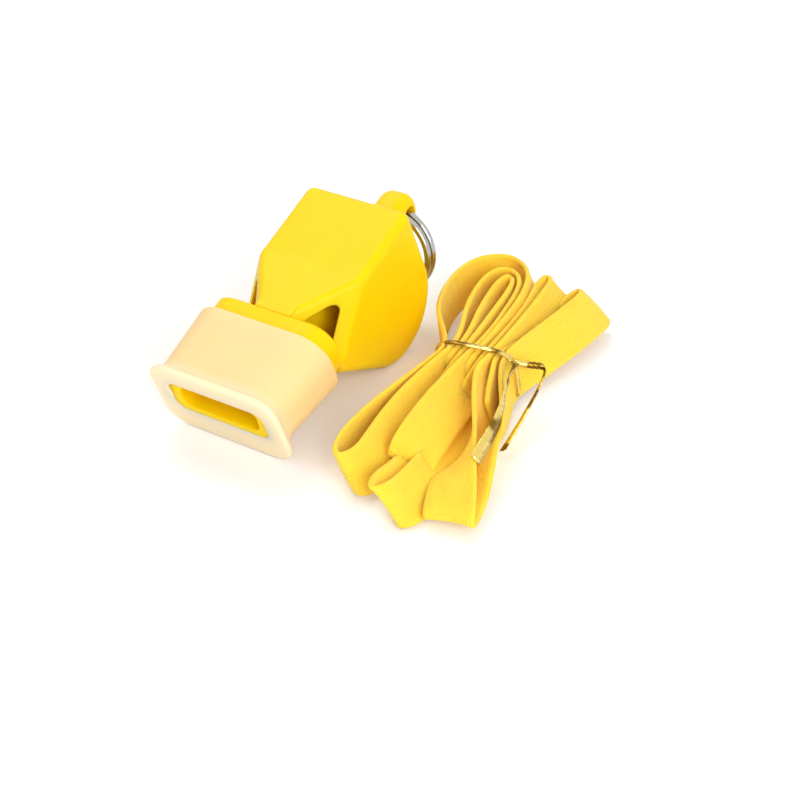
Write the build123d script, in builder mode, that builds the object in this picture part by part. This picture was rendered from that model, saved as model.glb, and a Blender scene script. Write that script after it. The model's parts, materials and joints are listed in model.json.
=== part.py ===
"""Three-chamber pealess sports whistle with a slip-on mouth grip, a split ring and a tied lanyard.

Millimetres, +Z up. The whistle lies as it rests on a table, nose down: on its round belly and on
the lower edge of the mouth grip. Whistle coordinates are x across, y from the mouth to the back
and z square to the top face. The top face is at z = 0 and bends at y = 0, where its neck lifts a
little towards the mouth and runs flush into the rim.
"""

import os
from math import acos, asin, atan2, cos, degrees, hypot, radians, sin, tan

from build123d import *

# Body: the flat-topped chamber block
body_width = 21.0
top_length = 15.8
neck_length = 11.2
neck_width = 7.0
facet_lean = 49.0
gap_depth = 9.4
belly_back = 5.75
belly_drop = 15.4
belly_radius = 10.8
body_round = 1.6
facet_round = 1.6
top_round = 1.5

# Mouthpiece, measured from the bend towards the mouth and about the mouth axis
mouth_drop = 4.4
mouth_lift = 5.0
mouth_taper = 5.2
rim_start = 12.2
rim_length = 3.6
rim_width = 24.2
rim_height = 11.6
rim_corner = 4.6
seat_step = 0.4
tip_start = 30.6
rim_chamfer = 0.5
jaw_step = 1.5

# Air ways and chambers
mouth_width = 15.6
mouth_height = 4.6
mouth_corner = 1.6
throat_start = 21.0
side_wall = 1.8
top_wall = 1.0
belly_wall = 1.5
facet_wall = 1.3
centre_width = 5.2
partition = 1.2
duct_height = 1.3
duct_rise = 1.3
duct_width = 3.6
window_top = 1.0
window_corner = 1.8
window_foot = 7.4
bottom_window = 3.2

# Belly cover, the lower moulding that closes the chambers
cover_ledge = 0.9
cover_back_angle = 14.0
cover_front = 9.0
weld_gap = 0.05

# Lug for the split ring, on the back
lug_back = 23.7
lug_drop = 11.9
lug_radius = 3.7
lug_width = 6.4
lug_root = 7.6
lug_sink = 3.2
lug_round = 2.4
lug_hole = 3.6

# Mouth grip, a soft sleeve with a flared lip
grip_wall = 1.4
grip_fit = 0.1
grip_corner = 5.9
lip_width = 25.6
lip_height = 16.0
lip_corner = 4.0
lip_sag = 0.8
lip_thickness = 1.2
lip_chamfer = 0.3
lip_cove = 0.3
grip_length = 15.3
slot_width = 19.0
slot_height = 6.7
slot_corner = 1.9

# Split ring, two turns of wire
ring_radius = 7.8
ring_wire = 1.2
ring_sides = 6
ring_pitch = 1.64
ring_turns = 2

# Lanyard: one flat tape, on edge, wound into a hank that is drawn in at its waist
tape_width = 8.5
tape_thickness = 1.0
strand_count = 10
waist_step = 1.42
end_step = 2.7
end_first = 2.3
hank_fore = 27.5
hank_aft = 22.0
hank_x = 28.3
hank_y = 9.62
hank_turn = 10.5

# Twist tie round the waist of the hank
tie_width = 1.6
tie_thickness = 0.5
tie_gap = 0.35
tie_corner = 1.2
tail_width = 3.0
knot_diameter = 1.9
knot_length = 4.8
knot_height = 2.6
free_bulge = (14.3, -6.0, 0.0)
free_tip = (13.4, -14.5, -3.3)
close_bulge = (10.4, -9.5, 1.6)
close_tip = (13.9, -19.5, -1.0)

# Points along a wound piece at which its gap to itself is measured
gap_samples = 900

body_half = body_width / 2
neck_half = neck_width / 2
centre_half = centre_width / 2
grip_start = rim_start + rim_length
lip_start = grip_start + grip_length
lip_back = lip_start - lip_thickness


def axis_drop(forward):
    """Depth of the mouth axis under the top face, at a distance towards the mouth."""
    return mouth_drop - tan(radians(mouth_lift)) * (forward - grip_start)


def tangent_angle(y, z, turn):
    """Angle on the belly circle where a straight line from (y, z) touches it."""
    away = hypot(y - belly_back, z + belly_drop)
    return degrees(atan2(z + belly_drop, y - belly_back)) + turn * degrees(acos(belly_radius / away))


def belly_point(angle, radius):
    """Point (y, z) at an angle round the axis of the belly."""
    return (belly_back + radius * cos(radians(angle)), radius * sin(radians(angle)) - belly_drop)


jaw_drop = mouth_drop + rim_height / 2 + jaw_step
back_angle = tangent_angle(top_length, 0, -1)
ramp_angle = tangent_angle(-rim_start, -jaw_drop, 1)

# Resting attitude: belly and lower lip edge touch the table at the same height
lip_drop = axis_drop(lip_back) + lip_sag
lip_y = lip_chamfer - lip_start
lip_low = -lip_drop - lip_height / 2
lip_high = lip_height / 2 - lip_drop - lip_chamfer
reach = hypot(lip_y - belly_back, lip_low + belly_drop)
slope = degrees(atan2(lip_low + belly_drop, lip_y - belly_back))
pitch = radians(180 + degrees(asin(belly_radius / reach)) - slope)
front_y = -lip_start * cos(pitch) - lip_high * sin(pitch)
back_y = lug_back * cos(pitch) + lug_drop * sin(pitch) + lug_radius
rest_height = belly_radius + belly_drop * cos(pitch) - belly_back * sin(pitch)
rest = Plane(
    origin=(0, -(front_y + back_y) / 2, rest_height),
    x_dir=(1, 0, 0),
    z_dir=(0, -sin(pitch), cos(pitch)),
)
upright = Axis(rest.origin, rest.z_dir)


def spot(x, y, z):
    """A point given in whistle coordinates."""
    return rest.from_local_coords((x, y, z))


def level(z):
    """Plane parallel to the top face."""
    return Plane(spot(0, 0, z), x_dir=rest.x_dir, z_dir=rest.z_dir)


def across(forward):
    """Plane parallel to the front of the mouthpiece, centred on the mouth axis, facing the mouth."""
    return Plane(spot(0, -forward, -axis_drop(forward)), x_dir=rest.x_dir, z_dir=-rest.y_dir)


def along(x):
    """Plane parallel to the sides, with y and z as its own axes."""
    return Plane(spot(x, 0, 0), x_dir=rest.y_dir, z_dir=rest.x_dir)


mouth_axis = (rest.z_dir * sin(radians(mouth_lift)) - rest.y_dir * cos(radians(mouth_lift))).normalized()
neck_top = Plane(rest.origin, x_dir=rest.x_dir, z_dir=rest.x_dir.cross(-mouth_axis))
facet_run = rest.y_dir * -sin(radians(facet_lean)) - rest.z_dir * cos(radians(facet_lean))
facet_line = neck_top.from_local_coords((body_half - neck_half, neck_length, 0)) - rest.origin
facet_normal = facet_run.cross(facet_line).normalized()
facet_set = facet_wall / facet_normal.dot(-rest.y_dir)
chamber_in = centre_half + partition
chamber_out = body_half - side_wall
chamber_middle = (chamber_in + chamber_out) / 2
window_round = 0.45 * min(chamber_out - chamber_in, window_foot - window_top)
cover_half = chamber_out + cover_ledge
taper_start = rim_start + rim_length / 2


def is_facet(face):
    """True for the two slanting faces in front, which are mirror images."""
    normal = face.normal_at()
    return Vector(abs(normal.X), normal.Y, normal.Z).dot(facet_normal) > 0.9999


def facet_y(x, z):
    """Where the facet stands, towards the back, at a distance across and a height."""
    run = neck_length * (body_half - x) / (body_half - neck_half)
    rise = run * sin(radians(mouth_lift))
    return (z - rise) * tan(radians(facet_lean)) - run * cos(radians(mouth_lift))


def ramp_point(run, inset):
    """Point (y, z) on the straight ramp from the belly to the mouthpiece, moved in by an inset."""
    foot = belly_point(ramp_angle, belly_radius - inset)
    return (foot[0] + run * sin(radians(ramp_angle)), foot[1] - run * cos(radians(ramp_angle)))


def side_profile(x, inset, front, top):
    """D-shaped outline at a distance across, moved in by an inset, from a front face under a top face."""
    radius = belly_radius - inset
    back_foot = belly_point(back_angle, radius)
    ramp_foot = belly_point(ramp_angle, radius)
    back_top = (back_foot[0] + (back_foot[1] + top) * tan(radians(back_angle)), -top)
    jaw = (-front, ramp_foot[1] + (front + ramp_foot[0]) / tan(radians(ramp_angle)))
    with BuildSketch(along(x)) as profile:
        with BuildLine():
            Line(back_top, back_foot)
            CenterArc((belly_back, -belly_drop), radius, back_angle, ramp_angle - back_angle - 360)
            Polyline(ramp_foot, jaw, (-front, -top), back_top)
        make_face()
    return profile.sketch


def cover_profile(x, gap):
    """Side view of the belly cover, with a gap all round to the opening that it closes."""
    inset = belly_wall - gap
    proud = -belly_wall
    start = -cover_back_angle - degrees(gap / belly_radius)
    sweep_angle = ramp_angle - 360 - start
    run = cover_front - gap
    centre = (belly_back, -belly_drop)
    with BuildSketch(along(x)) as profile:
        with BuildLine():
            CenterArc(centre, belly_radius - inset, start, sweep_angle)
            Polyline(ramp_point(0, inset), ramp_point(run, inset), ramp_point(run, proud), ramp_point(0, proud))
            CenterArc(centre, belly_radius - proud, start, sweep_angle)
            Line(belly_point(start, belly_radius - inset), belly_point(start, belly_radius - proud))
        make_face()
    return profile.sketch


def mouth_outline(forward, width, height, corner, sag=0):
    """Rounded rectangle about the mouth axis, or lower by a sag."""
    with BuildSketch(across(forward)) as outline:
        with Locations((0, -sag)):
            RectangleRounded(width, height, corner)
    return outline.sketch


# Outer form that the two mouldings share
with BuildPart() as block:
    extrude(side_profile(-body_half, 0, rim_start, 0), amount=body_width)
    flanks = block.faces().filter_by(Axis.X)
    fillet([edge for flank in flanks for edge in flank.edges().sort_by(upright)[:3]], body_round)
    with BuildSketch(along(-body_half)):
        with BuildLine():
            Polyline((0, 0), (-rim_start, rim_start * tan(radians(mouth_lift))), (-rim_start, 0), close=True)
        make_face()
    extrude(amount=body_width)
    for side in (1, -1):
        with BuildSketch(neck_top):
            with BuildLine():
                Polyline(
                    (side * neck_half, -neck_length),
                    (side * body_half, 0),
                    (side * body_width, 0),
                    (side * body_width, -tip_start),
                    (side * neck_half, -tip_start),
                    close=True,
                )
            make_face()
        extrude(amount=gap_depth / cos(radians(facet_lean)), dir=facet_run, mode=Mode.SUBTRACT)
    facets = block.faces().filter_by(is_facet)
    fillet([facet.edges().sort_by(lambda edge: abs(edge.center().X))[-1] for facet in facets], facet_round)
    top_face = block.faces().filter_by(upright).sort_by(upright)[-1]
    neck_face = block.faces().filter_by(Axis(rest.origin, neck_top.z_dir)).sort_by(upright)[-1]
    backward = Axis(rest.origin, rest.y_dir)
    fillet(top_face.edges().sort_by(backward)[1:] + neck_face.edges().sort_by(backward)[3:5], top_round)


def tapered(end, grow, corner):
    """Tapering plug square to the mouth axis, from inside the rim, larger all round than the mouthpiece."""
    width = rim_width + 2 * (grow - seat_step)
    height = rim_height + 2 * (grow - seat_step)
    centre = spot(0, -taper_start, -axis_drop(taper_start))
    with BuildPart() as plug:
        with BuildSketch(Plane(centre, x_dir=rest.x_dir, z_dir=mouth_axis)):
            RectangleRounded(width, height, corner)
        extrude(amount=(end - taper_start) / cos(radians(mouth_lift)), taper=mouth_taper)
    return plug.part


# Mouthpiece with its rim, tapering to the tip
with BuildPart() as mouthpiece:
    extrude(mouth_outline(grip_start, rim_width, rim_height, rim_corner), amount=-rim_length)
    rim_face = mouthpiece.faces().sort_by(Axis(rest.origin, rest.y_dir))[-1]
    chamfer(rim_face.edges(), rim_chamfer)
    add(tapered(tip_start, 0, rim_corner - seat_step))

# Lug: a thick rounded tab on the back
with BuildPart() as lug:
    with BuildSketch(along(-lug_width / 2)):
        with Locations((lug_back, -lug_drop)):
            Circle(lug_radius)
        with Locations((belly_back + belly_radius - lug_sink, -lug_drop)):
            Rectangle(lug_sink, lug_root)
        make_hull()
    extrude(amount=lug_width)
    fillet(lug.faces().filter_by(Axis.X).edges(), lug_round)

# One side chamber behind its facet, open below; the other is its mirror image
with BuildPart() as side_chamber:
    with BuildSketch(level(-top_wall)):
        with BuildLine():
            Polyline(
                (chamber_in, facet_y(chamber_in, -top_wall) + facet_set),
                (chamber_out, facet_y(chamber_out, -top_wall) + facet_set),
                (chamber_out, lug_back),
                (chamber_in, lug_back),
                close=True,
            )
        make_face()
    extrude(amount=2 * (belly_drop + belly_radius), dir=facet_run)
    extrude(
        side_profile(chamber_in, belly_wall, rim_start, top_wall),
        amount=chamber_out - chamber_in,
        mode=Mode.INTERSECT,
    )

# Upper moulding: block, mouthpiece and lug, with the air ways and chambers cut out
with BuildPart() as whistle_body:
    add(block.part)
    add(mouthpiece.part)
    add(lug.part)
    with BuildSketch(along(-lug_width)):
        with Locations((lug_back, -lug_drop)):
            Circle(lug_hole / 2)
    extrude(amount=2 * lug_width, mode=Mode.SUBTRACT)
    add(side_chamber.part, mode=Mode.SUBTRACT)
    add(mirror(side_chamber.part, about=Plane.YZ, mode=Mode.PRIVATE), mode=Mode.SUBTRACT)
    extrude(
        side_profile(-centre_half, belly_wall, neck_length - partition, top_wall),
        amount=centre_width,
        mode=Mode.SUBTRACT,
    )
    extrude(cover_profile(-cover_half, 0), amount=2 * cover_half, mode=Mode.SUBTRACT)
    extrude(
        mouth_outline(lip_start, mouth_width, mouth_height, mouth_corner),
        amount=throat_start - lip_start,
        mode=Mode.SUBTRACT,
    )
    with BuildSketch(across(throat_start)):
        for side in (1, -1):
            with Locations((side * chamber_middle, duct_rise)):
                Rectangle(duct_width, duct_height)
    extrude(amount=rim_start - throat_start, mode=Mode.SUBTRACT)
    with BuildSketch(across(rim_start)):
        for side in (1, -1):
            with Locations((side * chamber_middle, axis_drop(rim_start) - (window_top + window_foot) / 2)):
                Rectangle(chamber_out - chamber_in, window_foot - window_top)
        fillet(vertices(), min(window_corner, window_round))
    extrude(amount=-rim_start, mode=Mode.SUBTRACT)
    with BuildSketch(along(-centre_half)):
        with BuildLine():
            Polyline(
                ramp_point(cover_front, -belly_wall),
                ramp_point(cover_front + bottom_window, -belly_wall),
                ramp_point(cover_front + bottom_window, 2 * belly_wall),
                ramp_point(cover_front, 2 * belly_wall),
                close=True,
            )
        make_face()
    extrude(amount=centre_width, mode=Mode.SUBTRACT)
    with BuildSketch(along(-duct_width / 2)):
        with BuildLine():
            Polyline(
                (-throat_start, -axis_drop(lip_start)),
                (-throat_start, -axis_drop(lip_start) - mouth_height / 2),
                ramp_point(cover_front + bottom_window, 0),
                ramp_point(cover_front + bottom_window, duct_height),
                close=True,
            )
        make_face()
    extrude(amount=duct_width, mode=Mode.SUBTRACT)

# Lower moulding: the curved cover that closes the three chambers
with BuildPart() as belly_cover:
    add(block.part)
    extrude(
        cover_profile(weld_gap - cover_half, weld_gap),
        amount=2 * (cover_half - weld_gap),
        mode=Mode.INTERSECT,
    )

# Mouth grip: a sleeve over the mouthpiece with a flared lip round its slot
mouthward = Axis(rest.origin, -rest.y_dir)
with BuildPart() as mouth_grip:
    add(tapered((lip_back + lip_start) / 2, seat_step + grip_wall, grip_corner))
    split(bisect_by=across(grip_start), keep=Keep.TOP)
    extrude(mouth_outline(lip_back, lip_width, lip_height, lip_corner, lip_sag), amount=lip_thickness)
    lip_faces = mouth_grip.faces().filter_by(mouthward).sort_by(mouthward)
    chamfer(lip_faces[-2].inner_wires()[0].edges(), lip_cove)
    lip_faces = mouth_grip.faces().filter_by(mouthward).sort_by(mouthward)
    chamfer(lip_faces[-1].edges() + lip_faces[-2].outer_wire().edges(), lip_chamfer)
    add(tapered(tip_start + grip_fit, grip_fit, rim_corner - seat_step), mode=Mode.SUBTRACT)
    extrude(
        mouth_outline(lip_start, slot_width, slot_height, slot_corner),
        amount=-grip_length,
        mode=Mode.SUBTRACT,
    )

# Split ring: two turns of wire that hang plumb from the hole in the lug
ring_sag = ring_radius - (ring_radius**2 - lug_width**2 / 4) ** 0.5
ring_centre = spot(0, lug_back, -lug_drop) + Vector(0, 0, ring_sag / 2 - ring_radius)
ring_plane = Plane(ring_centre, x_dir=(1, 0, 0), z_dir=(0, -1, 0))
with BuildLine(ring_plane) as ring_route:
    for half in range(2 * ring_turns):
        turn = (-1) ** half
        depth = ring_pitch * (ring_turns - half) / 2
        ThreePointArc(
            (0, -turn * ring_radius, depth),
            (turn * hypot(ring_radius, ring_pitch / 4), 0, depth - ring_pitch / 4),
            (0, turn * ring_radius, depth - ring_pitch / 2),
        )
with BuildPart() as split_ring:
    with BuildSketch(Plane(ring_route.line @ 0, z_dir=ring_route.line % 0)):
        RegularPolygon(ring_wire / 2, ring_sides)
    sweep(path=ring_route.line)

# Lanyard hank: the tape runs up and down through the waist, with a half turn at each end
hank = Plane(
    (hank_x, hank_y, tape_width / 2 + tie_gap + tie_thickness),
    x_dir=(cos(radians(hank_turn)), sin(radians(hank_turn)), 0),
    z_dir=(0, 0, 1),
)


def strand_x(first, step, index):
    """Place of a strand across the hank: strands lie left and right in turn, each further out."""
    return (-1) ** (index + 1) * (first + index * step / 2)


def least_gap(route, thickness, apart):
    """Smallest clear distance between stretches of a wound piece that lie apart along it."""
    points = [route @ (index / gap_samples) for index in range(gap_samples + 1)]
    skip = round(apart * gap_samples / route.length)
    pairs = ((near, far) for near in range(gap_samples) for far in range(near + skip, gap_samples + 1))
    return min((points[far] - points[near]).length for near, far in pairs) - thickness


arc_radii = []
with BuildLine(hank) as tape_route:
    for index in range(strand_count - 1):
        end_y = -hank_fore if index % 2 else hank_aft
        heading = hank.y_dir * (-1 if index % 2 else 1)
        waist_in = (strand_x(waist_step / 4, waist_step, index), 0)
        turn_in = (strand_x(end_first, end_step, index), end_y)
        turn_out = (strand_x(end_first, end_step, index + 1), end_y)
        waist_out = (strand_x(waist_step / 4, waist_step, index + 1), 0)
        middle_in = ((waist_in[0] + turn_in[0]) / 2, end_y / 2)
        middle_out = ((waist_out[0] + turn_out[0]) / 2, end_y / 2)
        arcs = [TangentArc(waist_in, middle_in, tangent=heading)]
        arcs.append(TangentArc(middle_in, turn_in, tangent=arcs[-1] % 1))
        arcs.append(TangentArc(turn_in, turn_out, tangent=heading))
        arcs.append(TangentArc(turn_out, middle_out, tangent=-heading))
        arcs.append(TangentArc(middle_out, waist_out, tangent=arcs[-1] % 1))
        arc_radii += [arc.radius for arc in arcs]

with BuildPart() as lanyard_hank:
    with BuildSketch(Plane(tape_route.line @ 0, x_dir=hank.x_dir, z_dir=hank.y_dir)):
        Rectangle(tape_thickness, tape_width)
    sweep(path=tape_route.line)

# Twist tie: a narrow loop round the waist, a twisted knot on the right and two flat tails
waist_left = strand_x(waist_step / 4, waist_step, strand_count - 2) - tape_thickness / 2
waist_right = strand_x(waist_step / 4, waist_step, strand_count - 1) + tape_thickness / 2
tie_inside = (waist_right - waist_left + 2 * tie_gap, tape_width + 2 * tie_gap)
tie_outside = (tie_inside[0] + 2 * tie_thickness, tie_inside[1] + 2 * tie_thickness)
tie_right = waist_right + tie_gap
knot_root = tie_right + tie_thickness + knot_diameter / 2
knot_end = tie_right + knot_length - knot_diameter / 2


def tail_sketch(start, bulge, tip):
    """Section of a tail at its start, and the arc that the tail follows, given on the hank's own plane."""
    with BuildLine(hank) as bend:
        ThreePointArc(start, bulge, tip)
    route = bend.line
    along_arc = route % 0
    with BuildSketch(Plane(route @ 0, x_dir=along_arc.cross(route % 1), z_dir=along_arc)) as section:
        Rectangle(tail_width, tie_thickness)
    return section.sketch, route


with BuildPart() as twist_tie:
    with BuildSketch(Plane(hank.origin, x_dir=hank.x_dir, z_dir=-hank.y_dir)):
        with Locations(((waist_left + waist_right) / 2, 0)):
            RectangleRounded(*tie_outside, tie_corner)
            RectangleRounded(*tie_inside, tie_corner - tie_thickness, mode=Mode.SUBTRACT)
    extrude(amount=tie_width / 2, both=True)
    with BuildSketch(Plane(hank.from_local_coords((tie_right, 0, knot_height)), z_dir=hank.x_dir)):
        Circle(knot_diameter / 2)
    extrude(amount=knot_length)
    for start_x, bulge, tip in ((knot_end, free_bulge, free_tip), (knot_root, close_bulge, close_tip)):
        section, route = tail_sketch((start_x, 0, knot_height), bulge, tip)
        sweep(section, path=route)

os.makedirs("parts", exist_ok=True)
for name, piece in (
    ("whistle_body", whistle_body),
    ("belly_cover", belly_cover),
    ("mouth_grip", mouth_grip),
    ("split_ring", split_ring),
    ("lanyard_hank", lanyard_hank),
    ("twist_tie", twist_tie),
):
    piece.part.label = name
    export_step(piece.part, "parts/" + name + ".step")

tape = tape_route.wire()
ring_turn = ring_route.wire()
tape_share = lanyard_hank.part.volume / (tape.length * tape_width * tape_thickness)
print("tape length", round(tape.length, 1), "and volume over section times length", round(tape_share, 4))
print("tape arc radii", round(min(arc_radii), 2), "to", round(max(arc_radii), 2))
print("least gap of the tape to itself", round(least_gap(tape, tape_thickness, 3 * tape_width), 2))
print("least gap of the ring to itself", round(least_gap(ring_turn, ring_wire, ring_radius), 2))
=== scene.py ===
"""Looks of the sports whistle: moulded plastic, a soft grip, a bright ring and a lanyard tied in a hank.

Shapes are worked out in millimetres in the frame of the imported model, and scaled to metres in one place.
Whistle coordinates are x across, y from the mouth to the back and z square to the top face.
Hank coordinates are across and along the folded lanyard, and the height over the table.
"""

import json
import math

import bpy
from mathutils import Matrix, Vector


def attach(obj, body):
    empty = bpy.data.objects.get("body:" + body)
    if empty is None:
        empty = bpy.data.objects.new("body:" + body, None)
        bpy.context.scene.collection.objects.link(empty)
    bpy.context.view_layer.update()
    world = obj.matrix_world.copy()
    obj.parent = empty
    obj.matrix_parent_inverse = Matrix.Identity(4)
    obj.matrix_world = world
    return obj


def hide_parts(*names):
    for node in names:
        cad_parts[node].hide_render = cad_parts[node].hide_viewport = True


MM = 0.001

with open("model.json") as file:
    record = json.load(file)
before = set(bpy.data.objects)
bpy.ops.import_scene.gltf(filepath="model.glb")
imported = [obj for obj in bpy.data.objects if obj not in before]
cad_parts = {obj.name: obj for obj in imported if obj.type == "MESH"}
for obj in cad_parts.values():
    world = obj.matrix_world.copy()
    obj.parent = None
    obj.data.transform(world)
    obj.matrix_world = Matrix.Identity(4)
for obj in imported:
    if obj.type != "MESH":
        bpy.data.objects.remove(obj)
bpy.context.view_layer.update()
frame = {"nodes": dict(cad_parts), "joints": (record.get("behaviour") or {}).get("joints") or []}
nodes = frame["nodes"]
joints = {joint["name"]: joint for joint in frame["joints"]}

# Whistle frame, from the hinge of the ring and the slide of the grip
lug_back = 23.7
lug_drop = 11.9
mouth_lift = math.radians(5.0)
hinge = Vector(joints["ring_swing"]["pos_m"]) / MM
mouth_axis = Vector(joints["grip_pull_off"]["axis"]).normalized()
pitch = math.asin(-mouth_axis.z) + mouth_lift
along_whistle = Vector((0, math.cos(pitch), math.sin(pitch)))
up_whistle = Vector((0, -math.sin(pitch), math.cos(pitch)))
bend = hinge - along_whistle * lug_back + up_whistle * lug_drop

# Mouth grip: forward distances from the bend, half sizes and corners of its sections
grip_rear = 15.8
grip_front = 31.1
grip_edge = 0.45
mouth_drop = 4.4
sleeve_rear = (13.36, 7.06, 5.7)
sleeve_front = (12.0, 5.95, 4.4)
cove_length = 3.4
cove_inset = 0.2
lip_half = (12.75, 7.95, 4.2)
lip_thickness = 1.1
lip_sag = 0.8
slot_half = (9.5, 3.35, 1.9)
slot_edge = 0.25
cavity_rear = (11.65, 5.35, 4.1)
cavity_front = (10.3, 4.0, 2.8)
cavity_end = 30.7

# Split ring
ring_radius = 7.8
ring_wire = 1.2
ring_pitch = 1.64
ring_turns = 2
ring_steps = 96
ring_corners = 16
ring_squareness = 0.7
lug_width = 6.4

# Lanyard
tape_width = 8.5
tape_thickness = 0.9
tape_steps = 7
tape_sway = 2.5
tape_sway_run = 9.0
tape_cup = 0.35
tape_cup_run = 23.0
table_gap = 0.05
hank_spot = Vector((28.3, 9.62, 0.0))
hank_turn = math.radians(10.5)
waist_step = 1.22
waist_middle = -0.9
waist_height = 5.1
waist_lean = (8.0, 18.0)
strand_count = 10

# Twist tie
film_thickness = 0.14
core_half = 0.28
loop_strip = 1.0
loop_half = (7.3, 4.5)
loop_steps = 72
loop_start = 30
loop_sway = 0.5
loop_lean = 0.2
loop_squareness = 0.5
knot_start = Vector((5.9, -0.2, 8.4))
knot_stop = Vector((10.1, 1.5, 7.7))
knot_turns = 2.5
knot_radius = 0.42
knot_strip = 1.1
knot_steps = 40
tail_steps = 10

# Camera, as the photograph was taken
camera_spot = (134.14, -186.49, 147.81)
camera_azimuth = 32.005
camera_elevation = 33.736
camera_lens = 69.24
camera_sensor = 36.0
camera_near = 0.01

# Table and light: places and sizes in metres
table_half = 0.9
table_glow = (0.1, 0.6)
table_glow_reach = (0.15, 0.7)
dome_light = 0.66
dome_seen = 1.0
lamps = (
    ("key", 0.45, 1.6, (-0.28, 0.22, 0.6)),
    ("fill", 0.3, 1.4, (0.32, -0.25, 0.22)),
)


def spot(x, y, z):
    """Point in the model's frame for a point in whistle coordinates."""
    return bend + Vector((x, 0, 0)) + along_whistle * y + up_whistle * z


def hank_point(across, along, height):
    """Point in the model's frame for a point in hank coordinates."""
    turned = Matrix.Rotation(hank_turn, 3, "Z") @ Vector((across, along, 0))
    return hank_spot + turned + Vector((0, 0, height))


def hank_direction(across, along, up):
    """Direction in the model's frame for a direction in hank coordinates."""
    return Matrix.Rotation(hank_turn, 3, "Z") @ Vector((across, along, up))


def skin(rings, closed=False):
    """Points and faces of a surface through rings of equally many points, each open end closed by a face."""
    count = len(rings[0])
    points = [point for ring in rings for point in ring]
    faces = []
    for row in range(len(rings) if closed else len(rings) - 1):
        here = row * count
        there = (row + 1) % len(rings) * count
        for column in range(count):
            after = (column + 1) % count
            faces.append((here + column, here + after, there + after, there + column))
    if not closed:
        faces.append(tuple(reversed(range(count))))
        faces.append(tuple(range((len(rings) - 1) * count, len(rings) * count)))
    return points, faces


def join(*skins):
    """One list of points and one of faces from several surfaces."""
    points = []
    faces = []
    for more_points, more_faces in skins:
        start = len(points)
        points += more_points
        faces += [tuple(start + corner for corner in face) for face in more_faces]
    return points, faces


def make_piece(name, surface, material):
    """Smooth mesh object in metres from points in millimetres."""
    points, faces = surface
    mesh = bpy.data.meshes.new(name)
    mesh.from_pydata([tuple(point * MM) for point in points], [], faces)
    mesh.validate()
    mesh.shade_smooth()
    mesh.materials.append(material)
    piece = bpy.data.objects.new(name, mesh)
    bpy.context.collection.objects.link(piece)
    return piece


def spline_points(controls, steps):
    """Points of a smooth curve that the control points draw, in millimetres."""
    curve = bpy.data.curves.new("route", "CURVE")
    curve.dimensions = "3D"
    spline = curve.splines.new("NURBS")
    spline.points.add(len(controls) - 1)
    for point, control in zip(spline.points, controls):
        point.co = (*control, 1)
    spline.order_u = 3
    spline.use_endpoint_u = True
    spline.resolution_u = steps
    route = bpy.data.objects.new("route", curve)
    bpy.context.collection.objects.link(route)
    bpy.context.view_layer.update()
    mesh = bpy.data.meshes.new_from_object(route)
    points = [vertex.co.copy() for vertex in mesh.vertices]
    bpy.data.objects.remove(route)
    bpy.data.curves.remove(curve)
    bpy.data.meshes.remove(mesh)
    return points


def directions(points):
    """Unit direction of travel at each point of a line."""
    last = len(points) - 1
    return [(points[min(i + 1, last)] - points[max(i - 1, 0)]).normalized() for i in range(len(points))]


def square_to(vector, tangent):
    """The vector without its part along the tangent, at unit length."""
    return (vector - tangent * vector.dot(tangent)).normalized()


def between(first, second, share):
    """Sizes that lie a share of the way from the first to the second."""
    return tuple(a + (b - a) * share for a, b in zip(first, second))


def squared_off(angle, power):
    """Cosine and sine of an angle, raised to a power that makes a circle squarer."""
    return [math.copysign(abs(value) ** power, value) for value in (math.cos(angle), math.sin(angle))]


# Materials


def new_material(name, **sockets):
    """Material with a principled shader, whose sockets are set to constants."""
    material = bpy.data.materials.new(name)
    material.use_nodes = True
    shader = material.node_tree.nodes["Principled BSDF"]
    for socket, value in sockets.items():
        shader.inputs[socket.replace("_", " ")].default_value = value
    return material, shader


def add_node(owner, kind, **values):
    """New node in a material or the world, with its inputs or settings given by name."""
    node = owner.node_tree.nodes.new(kind)
    for name, value in values.items():
        if name in node.inputs:
            node.inputs[name].default_value = value
        else:
            setattr(node, name, value)
    return node


def wire(owner, output, target):
    """Link from an output to an input."""
    owner.node_tree.links.new(output, target)


def remap(owner, value, low, high, start=0.0, stop=1.0, **settings):
    """A value between start and stop spread over the range from low to high."""
    node = add_node(owner, "ShaderNodeMapRange", **settings)
    for socket, number in (("From Min", start), ("From Max", stop), ("To Min", low), ("To Max", high)):
        node.inputs[socket].default_value = number
    wire(owner, value, node.inputs["Value"])
    return node.outputs["Result"]


def place(material, scale):
    """Texture place in the model's frame, scaled from metres."""
    coordinates = add_node(material, "ShaderNodeTexCoord")
    mapping = add_node(material, "ShaderNodeMapping", Scale=scale)
    wire(material, coordinates.outputs["Object"], mapping.inputs["Vector"])
    return mapping.outputs["Vector"]


def noise(material, scale, detail=3.0):
    """Noise in the model's frame, with a scale per metre."""
    texture = add_node(material, "ShaderNodeTexNoise", Scale=1.0, Detail=detail)
    wire(material, place(material, (scale, scale, scale)), texture.inputs["Vector"])
    return texture.outputs["Fac"]


def add_scaled(material, value, factor, base):
    """A base value plus another value times a factor."""
    node = add_node(material, "ShaderNodeMath", operation="MULTIPLY_ADD")
    node.inputs[1].default_value = factor
    wire(material, value, node.inputs[0])
    wire(material, base, node.inputs[2])
    return node.outputs["Value"]


def blend_colours(material, value, first, second):
    """Colour between two colours."""
    node = add_node(material, "ShaderNodeMix", data_type="RGBA")
    node.inputs[6].default_value = (*first, 1)
    node.inputs[7].default_value = (*second, 1)
    wire(material, value, node.inputs["Factor"])
    return node.outputs[2]


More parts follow.
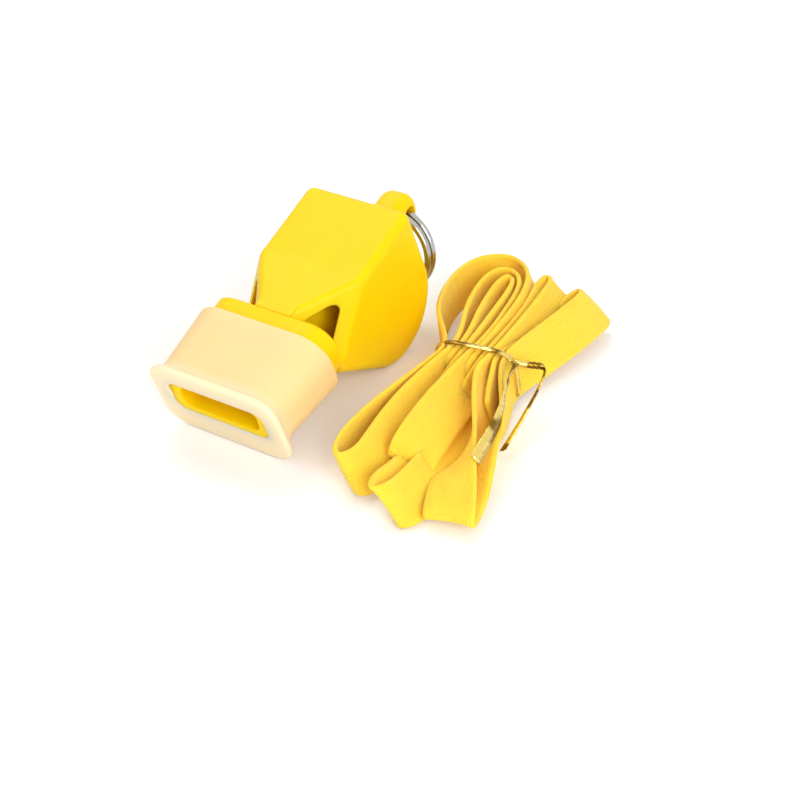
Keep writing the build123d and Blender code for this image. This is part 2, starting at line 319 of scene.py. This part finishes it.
def bump(material, height, distance, strength=1.0, under=None):
    """Bump normal from a height from 0 to 1, over a distance in metres, on top of another bump."""
    node = add_node(material, "ShaderNodeBump", Distance=distance, Strength=strength)
    wire(material, height, node.inputs["Height"])
    if under:
        wire(material, under, node.inputs["Normal"])
    return node.outputs["Normal"]


def moulded_plastic(name, deep, bright):
    """Glossy moulded plastic with a faint flow pattern and a fine, soft grain."""
    material, shader = new_material(
        name,
        IOR=1.5,
        Specular_IOR_Level=0.12,
        Subsurface_Weight=0.6,
        Subsurface_Radius=(1.0, 0.5, 0.05),
        Subsurface_Scale=0.003,
    )
    colour = blend_colours(material, noise(material, 160.0), deep, bright)
    wire(material, colour, shader.inputs["Base Color"])
    wire(material, remap(material, noise(material, 700.0), 0.3, 0.42), shader.inputs["Roughness"])
    soft = bump(material, noise(material, 900.0, 1.0), 0.00002)
    grain = bump(material, noise(material, 5200.0), 0.000012, under=soft)
    wire(material, grain, shader.inputs["Normal"])
    return material


def soft_silicone():
    """Cloudy cream silicone, warmer where it lies over the yellow mouthpiece."""
    material, shader = new_material(
        "soft_silicone",
        IOR=1.41,
        Subsurface_Weight=0.7,
        Subsurface_Radius=(1.0, 0.75, 0.42),
        Subsurface_Scale=0.0035,
    )
    over_mouthpiece = (0.96, 0.62, 0.27)
    at_lip = (0.9, 0.72, 0.48)
    reach = add_node(material, "ShaderNodeAttribute", attribute_name="reach")
    cloud = add_scaled(material, noise(material, 260.0), 0.25, reach.outputs["Fac"])
    wire(material, blend_colours(material, cloud, over_mouthpiece, at_lip), shader.inputs["Base Color"])
    wire(material, remap(material, noise(material, 800.0), 0.42, 0.56), shader.inputs["Roughness"])
    wire(material, bump(material, noise(material, 1600.0), 0.00002), shader.inputs["Normal"])
    return material


def bright_steel():
    """Plated steel wire with fine drawing marks."""
    material, shader = new_material("bright_steel", Metallic=1.0)
    marks = add_node(material, "ShaderNodeTexNoise", Scale=1.0, Detail=4.0)
    wire(material, place(material, (1500.0, 9000.0, 1500.0)), marks.inputs["Vector"])
    colour = blend_colours(material, noise(material, 500.0), (0.42, 0.41, 0.4), (0.58, 0.57, 0.55))
    wire(material, colour, shader.inputs["Base Color"])
    wire(material, remap(material, marks.outputs["Fac"], 0.1, 0.24), shader.inputs["Roughness"])
    wire(material, bump(material, marks.outputs["Fac"], 0.000006), shader.inputs["Normal"])
    return material


def woven_tape():
    """Soft yellow tape: lengthwise ribs crossed by fine picks, with uneven dye and painted shade in the
    grooves of the weave.
    """
    material, shader = new_material(
        "woven_tape",
        Roughness=0.86,
        IOR=1.35,
        Sheen_Weight=0.25,
        Sheen_Roughness=0.5,
        Sheen_Tint=(1.0, 0.9, 0.5, 1.0),
        Subsurface_Weight=0.35,
        Subsurface_Radius=(1.0, 0.5, 0.1),
        Subsurface_Scale=0.002,
    )
    uv = add_node(material, "ShaderNodeUVMap", uv_map="tape")
    ribs = add_node(material, "ShaderNodeTexWave", bands_direction="Y", Scale=0.75, Distortion=0.8)
    picks = add_node(material, "ShaderNodeTexWave", bands_direction="X", Scale=1.0, Distortion=1.2)
    for wave in (ribs, picks):
        wire(material, uv.outputs["UV"], wave.inputs["Vector"])
    weave = add_scaled(material, picks.outputs["Fac"], 0.6, ribs.outputs["Fac"])
    colour = blend_colours(material, noise(material, 220.0), (0.99, 0.6, 0.035), (1.0, 0.67, 0.055))
    # Painted shade: the colour is darkened where the weave is low, in its grooves.
    painted_weave_shade = add_node(material, "ShaderNodeMix", data_type="RGBA", blend_type="MULTIPLY")
    painted_weave_shade.inputs[7].default_value = (0.98, 0.93, 0.8, 1)
    wire(material, remap(material, weave, 0.5, 0.0), painted_weave_shade.inputs["Factor"])
    wire(material, colour, painted_weave_shade.inputs[6])
    wire(material, painted_weave_shade.outputs[2], shader.inputs["Base Color"])
    wrinkles = bump(material, noise(material, 230.0), 0.0012, 0.5)
    wire(material, bump(material, weave, 0.00008, 0.6, wrinkles), shader.inputs["Normal"])
    return material


def gold_foil():
    """Metallised gold film, crinkled where it was folded, with painted reflections: dark and bright patches
    in its colour.
    """
    material, shader = new_material("gold_foil", Metallic=1.0)
    # Painted reflections: a sharpened noise splits the foil into dark and bright patches of colour.
    painted_reflection_patches = add_node(
        material, "ShaderNodeTexNoise", noise_dimensions="4D", Scale=1.0, Detail=1.0, W=1.0
    )
    wire(material, place(material, (190.0, 190.0, 190.0)), painted_reflection_patches.inputs["Vector"])
    painted_reflection_mask = remap(
        material, painted_reflection_patches.outputs["Fac"], 0.0, 1.0, 0.42, 0.5, interpolation_type="SMOOTHSTEP"
    )
    # Painted reflections: dark brown and bright gold patches of colour on the foil.
    colour = blend_colours(material, painted_reflection_mask, (0.24, 0.13, 0.012), (0.88, 0.66, 0.17))
    wire(material, colour, shader.inputs["Base Color"])
    wire(material, remap(material, noise(material, 1200.0), 0.1, 0.28), shader.inputs["Roughness"])
    wire(material, bump(material, noise(material, 420.0, 2.0), 0.0008, 0.7), shader.inputs["Normal"])
    return material


# Mouth grip


def rounded_section(forward, half_width, half_height, corner, sag=0.0, arc_steps=10, side_steps=8):
    """Rounded rectangle across the mouth axis, with the same count of points for every size."""
    drop = mouth_drop - math.tan(mouth_lift) * (forward - grip_rear) + sag
    middles = (
        (half_width - corner, half_height - corner),
        (corner - half_width, half_height - corner),
        (corner - half_width, corner - half_height),
        (half_width - corner, corner - half_height),
    )
    outline = []
    for quarter, (x, z) in enumerate(middles):
        for step in range(arc_steps + 1):
            angle = math.radians(90) * (quarter + step / arc_steps)
            outline.append((x + corner * math.cos(angle), z + corner * math.sin(angle)))
        following = middles[(quarter + 1) % 4]
        angle = math.radians(90) * (quarter + 1)
        start = outline[-1]
        stop = (following[0] + corner * math.cos(angle), following[1] + corner * math.sin(angle))
        outline += [between(start, stop, step / side_steps) for step in range(1, side_steps)]
    return [spot(x, -forward, z - drop) for x, z in outline]


def grown(sizes, amount):
    """Half sizes and corner of a section, larger by an amount all round."""
    return tuple(size + amount for size in sizes)


def sleeve_section(forward):
    """Half sizes and corner of the plain sleeve at a forward distance."""
    return between(sleeve_rear, sleeve_front, (forward - grip_rear) / (grip_front - grip_rear))


def make_grip(material):
    """Sleeve with a rounded rear edge, a cove that flares to the lip, the slot and the inner hollow."""
    cove_start = grip_front - cove_length
    lip_back = grip_front - lip_thickness
    lip_round = lip_thickness / 2
    straight_steps = 8
    cove_steps = 8
    cavity_steps = 6
    sections = []

    def add(forward, sizes, sag=0.0):
        sections.append((forward, sizes, sag))

    for angle in (90, 60, 30, 0):
        turn = math.radians(angle)
        inset = grip_edge * (1 - math.cos(turn))
        add(grip_rear + grip_edge * (1 - math.sin(turn)), grown(sleeve_rear, -inset))
    for step in range(1, straight_steps + 1):
        share = step / straight_steps
        forward = grip_rear + grip_edge + (cove_start - grip_rear - grip_edge) * share
        add(forward, sleeve_section(forward))
    for step in range(1, cove_steps + 1):
        turn = step / cove_steps * math.pi / 2
        forward = cove_start + (lip_back - cove_start) * math.sin(turn)
        flare = 1 - math.cos(turn)
        add(forward, between(sleeve_section(forward), grown(lip_half, -cove_inset), flare), lip_sag * flare)
    for angle in (-50, -25, 0, 25, 50, 75, 90):
        turn = math.radians(angle)
        inset = lip_round * (1 - math.cos(turn))
        add(grip_front - lip_round + lip_round * math.sin(turn), grown(lip_half, -inset), lip_sag)
    for share in (0.3, 0.65, 0.9):
        face = between(grown(lip_half, -lip_round), grown(slot_half, slot_edge), share)
        add(grip_front, face, lip_sag * (1 - share))
    for angle in (0, 45, 90):
        turn = math.radians(angle)
        wider = slot_edge * (1 - math.sin(turn))
        add(grip_front - slot_edge * (1 - math.cos(turn)), grown(slot_half, wider))
    add(cavity_end, slot_half)
    for step in range(cavity_steps + 1):
        share = step / cavity_steps
        add(cavity_end + (grip_rear - cavity_end) * share, between(cavity_front, cavity_rear, share))

    rings = [rounded_section(forward, *sizes, sag) for forward, sizes, sag in sections]
    grip = make_piece("silicone_grip", skin(rings, closed=True), material)
    reach = grip.data.attributes.new("reach", "FLOAT", "POINT")
    values = []
    for (forward, _, _), ring in zip(sections, rings):
        share = max(0.0, (forward - cove_start) / cove_length)
        values += [share] * len(ring)
    reach.data.foreach_set("value", values)
    return grip


# Split ring


def make_ring(material):
    """Two turns of wire with flattened sides, cut square at both ends."""
    sag = ring_radius - math.sqrt(ring_radius**2 - lug_width**2 / 4)
    middle = hinge + Vector((0, 0, sag / 2 - ring_radius))
    rings = []
    for step in range(ring_steps * ring_turns + 1):
        turns = step / ring_steps
        angle = math.radians(360 * turns - 90)
        out = Vector((math.cos(angle), 0, math.sin(angle)))
        centre = middle + out * ring_radius + Vector((0, ring_pitch * (turns - ring_turns / 2), 0))
        section = []
        for corner in range(ring_corners):
            wide, high = squared_off(math.radians(360 * corner / ring_corners), ring_squareness)
            section.append(centre + out * (wide * ring_wire / 2) + Vector((0, high * ring_wire / 2, 0)))
        rings.append(section)
    return make_piece("steel_ring", skin(rings), material)


# Lanyard


def waist_point(place_at_tie):
    """Across, along, height and lean of the tape where it passes the tie in one of ten places."""
    lean = waist_lean[0] + (waist_lean[1] - waist_lean[0]) * (place_at_tie - 1) / (strand_count - 1)
    across = waist_middle + (place_at_tie - (strand_count + 1) / 2) * waist_step
    return (across, 0.0, waist_height, lean)


# Each point of the tape is across, along, height and lean in degrees. Ends run to or from the tie.
first_end = [(-6.6, -20.0, 1.8, 80), (-6.0, -14.0, 1.9, 78), (-4.6, -7.0, 3.0, 55)]
last_end = [(4.2, -4.0, 4.7, 17), (5.1, -9.2, 4.4, 16), (6.0, -13.0, 4.3, 14)]
# Each fold has its places at the tie and its points, from strand to tip to strand
folds = [
    (3, 4, [
        (-3.9, 7.0, 4.8, 16), (-4.7, 13.5, 4.7, 18), (-5.1, 20.0, 4.6, 18), (-5.0, 25.5, 4.6, 18),
        (-3.9, 28.6, 4.6, 18),
        (-2.3, 27.4, 4.6, 18), (-1.7, 22.5, 4.6, 22), (-1.7, 14.5, 4.7, 24), (-1.9, 6.5, 4.9, 22),
    ]),
    (4, 5, [
        (-2.4, -7.0, 3.4, 50), (-2.6, -15.0, 2.4, 72), (-2.6, -22.0, 2.4, 72), (-2.4, -27.5, 2.6, 68),
        (-2.1, -29.4, 4.4, 62),
        (-1.8, -27.6, 6.4, 56), (-1.5, -22.0, 6.9, 54), (-1.2, -15.0, 6.8, 53), (-0.6, -7.5, 6.2, 42),
    ]),
    (5, 2, [
        (-0.2, 7.5, 4.9, 22), (0.1, 15.0, 4.7, 28), (0.1, 22.0, 4.6, 28), (-0.9, 28.0, 4.6, 24),
        (-3.4, 31.0, 4.6, 20), (-6.2, 30.4, 4.6, 18),
        (-7.5, 26.5, 4.6, 18), (-7.3, 20.0, 4.6, 22), (-6.5, 13.0, 4.7, 20), (-5.3, 6.5, 4.9, 14),
    ]),
    (2, 1, [
        (-5.2, -7.0, 5.7, 38), (-6.3, -14.0, 5.6, 50), (-6.9, -21.0, 5.4, 50), (-7.3, -27.0, 4.9, 42),
        (-7.8, -32.0, 4.4, 32), (-9.8, -35.0, 4.3, 26), (-11.8, -33.4, 4.4, 22),
        (-12.3, -28.0, 4.4, 20), (-11.2, -20.0, 4.5, 18), (-9.6, -13.0, 4.6, 16), (-7.8, -6.5, 4.9, 12),
    ]),
    (1, 6, [
        (-8.4, 5.0, 4.8, 8), (-12.2, 11.5, 4.6, 6), (-13.8, 19.0, 4.6, 6), (-13.6, 27.0, 4.6, 8),
        (-11.2, 33.2, 4.6, 12), (-6.4, 36.0, 4.6, 18), (-2.2, 34.4, 4.9, 28),
        (1.2, 29.5, 5.4, 38), (2.5, 21.5, 5.7, 43), (2.1, 13.5, 5.6, 40), (1.1, 6.5, 5.2, 30),
    ]),
    (6, 7, [
        (0.8, -8.0, 3.4, 56), (0.1, -16.0, 3.0, 62), (-0.4, -24.0, 3.0, 62), (-1.4, -31.0, 3.3, 52),
        (-2.8, -36.6, 3.8, 42), (-2.3, -40.2, 3.9, 36), (-0.2, -38.8, 3.9, 38),
        (1.2, -34.0, 3.7, 46), (2.0, -27.0, 3.4, 55), (2.2, -18.0, 3.3, 54), (2.0, -9.0, 3.4, 58),
    ]),
    (7, 8, [
        (2.8, 8.0, 5.0, 36), (3.9, 16.0, 5.2, 45), (4.1, 23.0, 5.4, 46), (3.8, 27.5, 5.6, 46),
        (4.8, 30.8, 6.0, 46),
        (6.2, 29.0, 6.3, 46), (6.3, 24.0, 6.5, 46), (5.7, 16.5, 6.3, 45), (4.4, 8.0, 5.8, 36),
    ]),
    (8, 10, [
        (2.3, -5.0, 5.8, 32), (4.5, -12.0, 5.9, 33), (5.6, -18.5, 5.4, 10), (5.0, -24.0, 5.4, -30),
        (5.1, -28.4, 5.3, -58), (6.0, -32.0, 5.0, -72), (7.0, -35.6, 4.4, -81), (7.6, -38.2, 3.0, -86),
        (7.6, -37.2, 1.6, -86), (7.6, -32.5, 1.8, -80), (7.4, -29.0, 2.3, -70), (7.3, -26.0, 2.9, -55),
        (7.4, -22.5, 3.6, -38), (7.9, -17.0, 4.3, -16), (7.3, -11.0, 4.6, 4), (5.8, -5.5, 4.8, 12),
    ]),
    (10, 9, [
        (7.0, 7.5, 5.4, 36), (9.6, 15.0, 5.8, 48), (11.5, 22.0, 5.8, 50), (12.4, 27.5, 5.4, 50),
        (11.2, 30.0, 4.6, 50),
        (9.8, 27.5, 4.2, 54), (9.2, 23.0, 3.9, 60), (7.8, 16.0, 3.9, 54), (5.7, 8.0, 4.4, 40),
    ]),
]


def tape_controls():
    """Control points of the tape from end to end: across, along, height and lean."""
    controls = list(first_end)
    for place_before, _, points in folds:
        controls.append(waist_point(place_before))
        controls += points
    _, place_after, _ = folds[-1]
    controls.append(waist_point(place_after))
    return controls + last_end


def tape_profile():
    """Outline of the tape across its run, in shares of its width and thickness, thicker at the selvages."""
    selvage = 0.4
    web = 0.78
    profile = []
    for side in (1, -1):
        for share in (-0.44, -0.36, -0.18, 0.0, 0.18, 0.36, 0.44):
            height = 1.0 if abs(share) > selvage else web
            profile.append((side * share, side * height / 2))
        profile.append((side * 0.485, side * 0.3))
        profile.append((side * 0.5, 0.0))
    return profile


def make_tape(material):
    """One flat tape that keeps its lean through the folds; returns the piece and its centre line."""
    controls = tape_controls()
    centres = spline_points([hank_point(*control[:3]) for control in controls], tape_steps)
    leans = [point.x for point in spline_points([(control[3], 0, 0) for control in controls], tape_steps)]
    travel = directions(centres)
    profile = tape_profile()
    rings = []
    uvs = []
    run = 0.0
    for index, centre in enumerate(centres):
        if index:
            run += (centre - centres[index - 1]).length
        lean = math.radians(leans[index] + tape_sway * math.sin(run / tape_sway_run))
        width = hank_direction(-math.sin(lean), 0, math.cos(lean))
        face = travel[index].cross(width).normalized()
        ring = []
        for across, proud in profile:
            cup = tape_cup * (1 - (2 * across) ** 2) * math.sin(run / tape_cup_run)
            ring.append(centre + width * (across * tape_width) + face * (proud * tape_thickness + cup))
            uvs.append((run, across * tape_width))
        lift = Vector((0, 0, max(0.0, table_gap - min(point.z for point in ring))))
        rings.append([point + lift for point in ring])
    tape = make_piece("woven_lanyard", skin(rings), material)
    layer = tape.data.uv_layers.new(name="tape")
    for loop in tape.data.loops:
        layer.data[loop.index].uv = uvs[loop.vertex_index]
    return tape, [tuple(centre * MM) for centre in centres]


# Twist tie

# Points of the two tails are across, along and height
free_tail = [
    (9.9, 1.4, 7.7), (10.6, 1.5, 7.4), (10.9, 0.2, 6.9), (10.8, -3.0, 5.8), (10.4, -7.0, 4.6),
    (10.0, -11.0, 3.4), (9.2, -16.4, 1.9),
]
close_tail = [
    (6.2, -0.6, 8.4), (6.4, -3.0, 9.2), (6.8, -7.0, 9.6), (7.7, -12.0, 9.5), (8.7, -17.0, 9.1),
    (8.9, -23.0, 8.9), (8.6, -29.0, 8.3),
]


def ribbon(points, widths, width, taper=1.0):
    """Surface of a film strip with a wire core along its middle, with a width direction at each point."""
    travel = directions(points)
    rings = []
    for index, point in enumerate(points):
        across = square_to(widths[index], travel[index])
        face = travel[index].cross(across)
        half = width / 2 * (1 + (taper - 1) * index / (len(points) - 1))
        upper = [(-half, 0.5), (-core_half, 0.6), (0.0, 1.6), (core_half, 0.6), (half, 0.5)]
        lower = [(x, -z) for x, z in reversed(upper)]
        rings.append([point + across * x + face * (z * film_thickness) for x, z in upper + lower])
    return skin(rings)


def tie_loop():
    """Strip once round the waist of the hank."""
    half_width, half_height = loop_half
    points = []
    for step in range(loop_steps + 1):
        angle = math.radians(loop_start + 360 * step / loop_steps)
        wide, high = squared_off(angle, loop_squareness)
        rise = high * half_height
        across = waist_middle + wide * half_width - loop_lean * rise
        points.append(hank_point(across, loop_sway * math.sin(angle), waist_height + rise))
    widths = [hank_direction(0.1, 1.0, 0.1)] * len(points)
    return ribbon(points, widths, loop_strip)


def tie_knot(first_angle):
    """One of the two strips that are twisted round each other, from its angle at the start."""
    points = []
    widths = []
    for step in range(knot_steps + 1):
        share = step / knot_steps
        angle = first_angle + 2 * math.pi * knot_turns * share
        centre = knot_start + (knot_stop - knot_start) * share
        swing = Vector((0, math.cos(angle), math.sin(angle)))
        spin = Vector((0, -math.sin(angle), math.cos(angle)))
        points.append(hank_point(*(centre + swing * knot_radius)))
        widths.append(hank_direction(*spin))
    return ribbon(points, widths, knot_strip)


def tie_tail(route, first_width, last_width, width, taper):
    """Tail along a route, turning from one width direction to another."""
    points = spline_points([hank_point(*point) for point in route], tail_steps)
    last = len(points) - 1
    widths = [hank_direction(*between(first_width, last_width, i / last)) for i in range(len(points))]
    return ribbon(points, widths, width, taper)


def make_tie(material):
    """Foil strip round the waist, twisted into a knot on the right, with two tails."""
    surface = join(
        tie_loop(),
        tie_knot(0.0),
        tie_knot(math.pi),
        tie_tail(free_tail, (0.3, -0.5, 0.75), (0.75, -0.3, 0.6), width=1.0, taper=1.5),
        tie_tail(close_tail, (0.5, -0.2, 0.5), (-0.6, -0.18, 0.77), width=1.9, taper=1.2),
    )
    return make_piece("foil_tie", surface, material)


# Table, light and camera


def make_floor():
    """White table top that stays white to the camera and keeps the shadows."""
    material, shader = new_material("white_table", Roughness=0.9, Base_Color=(0.9, 0.9, 0.9, 1))
    table_place = add_node(material, "ShaderNodeTexCoord")
    far = add_node(material, "ShaderNodeVectorMath", operation="LENGTH")
    wire(material, table_place.outputs["Object"], far.inputs[0])
    spread = remap(material, far.outputs["Value"], *table_glow, *table_glow_reach)
    path = add_node(material, "ShaderNodeLightPath")
    seen = add_node(material, "ShaderNodeMath", operation="MULTIPLY")
    wire(material, path.outputs["Is Camera Ray"], seen.inputs[0])
    wire(material, spread, seen.inputs[1])
    glow = add_node(material, "ShaderNodeEmission", Color=(1, 1, 1, 1))
    wire(material, seen.outputs["Value"], glow.inputs["Strength"])
    both = add_node(material, "ShaderNodeAddShader")
    wire(material, shader.outputs["BSDF"], both.inputs[0])
    wire(material, glow.outputs["Emission"], both.inputs[1])
    wire(material, both.outputs["Shader"], material.node_tree.nodes["Material Output"].inputs["Surface"])
    half = table_half / MM
    corners = [Vector((x, y, 0)) for x, y in ((-half, -half), (half, -half), (half, half), (-half, half))]
    floor = make_piece("table_top", (corners, [(0, 1, 2, 3)]), material)


def make_light():
    """Soft dome, a large lamp from behind on the left and a weaker one from the right in front."""
    world = bpy.data.worlds.new("studio")
    world.use_nodes = True
    bpy.context.scene.world = world
    dome = world.node_tree.nodes["Background"]
    dome.inputs["Color"].default_value = (1, 1, 1, 1)
    path = add_node(world, "ShaderNodeLightPath")
    seen = path.outputs["Is Camera Ray"]
    for kind in ("Is Glossy Ray", "Is Transmission Ray"):
        either = add_node(world, "ShaderNodeMath", operation="MAXIMUM")
        wire(world, seen, either.inputs[0])
        wire(world, path.outputs[kind], either.inputs[1])
        seen = either.outputs["Value"]
    wire(world, remap(world, seen, dome_light, dome_seen), dome.inputs["Strength"])

    for name, size, energy, lamp_spot in lamps:
        light = bpy.data.lights.new(name, "AREA")
        light.shape = "DISK"
        light.size = size
        light.energy = energy
        lamp = bpy.data.objects.new(name, light)
        lamp.location = lamp_spot
        lamp.rotation_euler = (-lamp.location).to_track_quat("-Z", "Y").to_euler()
        bpy.context.collection.objects.link(lamp)


def make_camera():
    """Camera at the photograph's place and angle."""
    camera = bpy.data.objects.new("camera", bpy.data.cameras.new("camera"))
    camera.data.lens = camera_lens
    camera.data.sensor_width = camera_sensor
    camera.data.clip_start = camera_near
    camera.location = Vector(camera_spot) * MM
    camera.rotation_euler = (math.radians(90 - camera_elevation), 0, math.radians(camera_azimuth))
    bpy.context.collection.objects.link(camera)
    bpy.context.scene.camera = camera


make_camera()
make_light()
make_floor()
bpy.context.scene.view_settings.view_transform = "Standard"

shell = moulded_plastic("yellow_shell", (0.98, 0.58, 0.001), (1.0, 0.64, 0.002))
cover = moulded_plastic("yellow_cover", (0.97, 0.56, 0.001), (0.99, 0.62, 0.002))
for node, material in (("whistle_body", shell), ("belly_cover", cover)):
    for material_slot in nodes[node].material_slots:
        material_slot.material = material

tape, centre_line = make_tape(woven_tape())
tie = make_tie(gold_foil())
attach(tape, "lanyard")
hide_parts("lanyard_hank")
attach(tie, "lanyard")
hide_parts("twist_tie")

grip = make_grip(soft_silicone())
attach(grip, "grip")
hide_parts("mouth_grip")

ring = make_ring(bright_steel())
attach(ring, "ring")
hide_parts("split_ring")
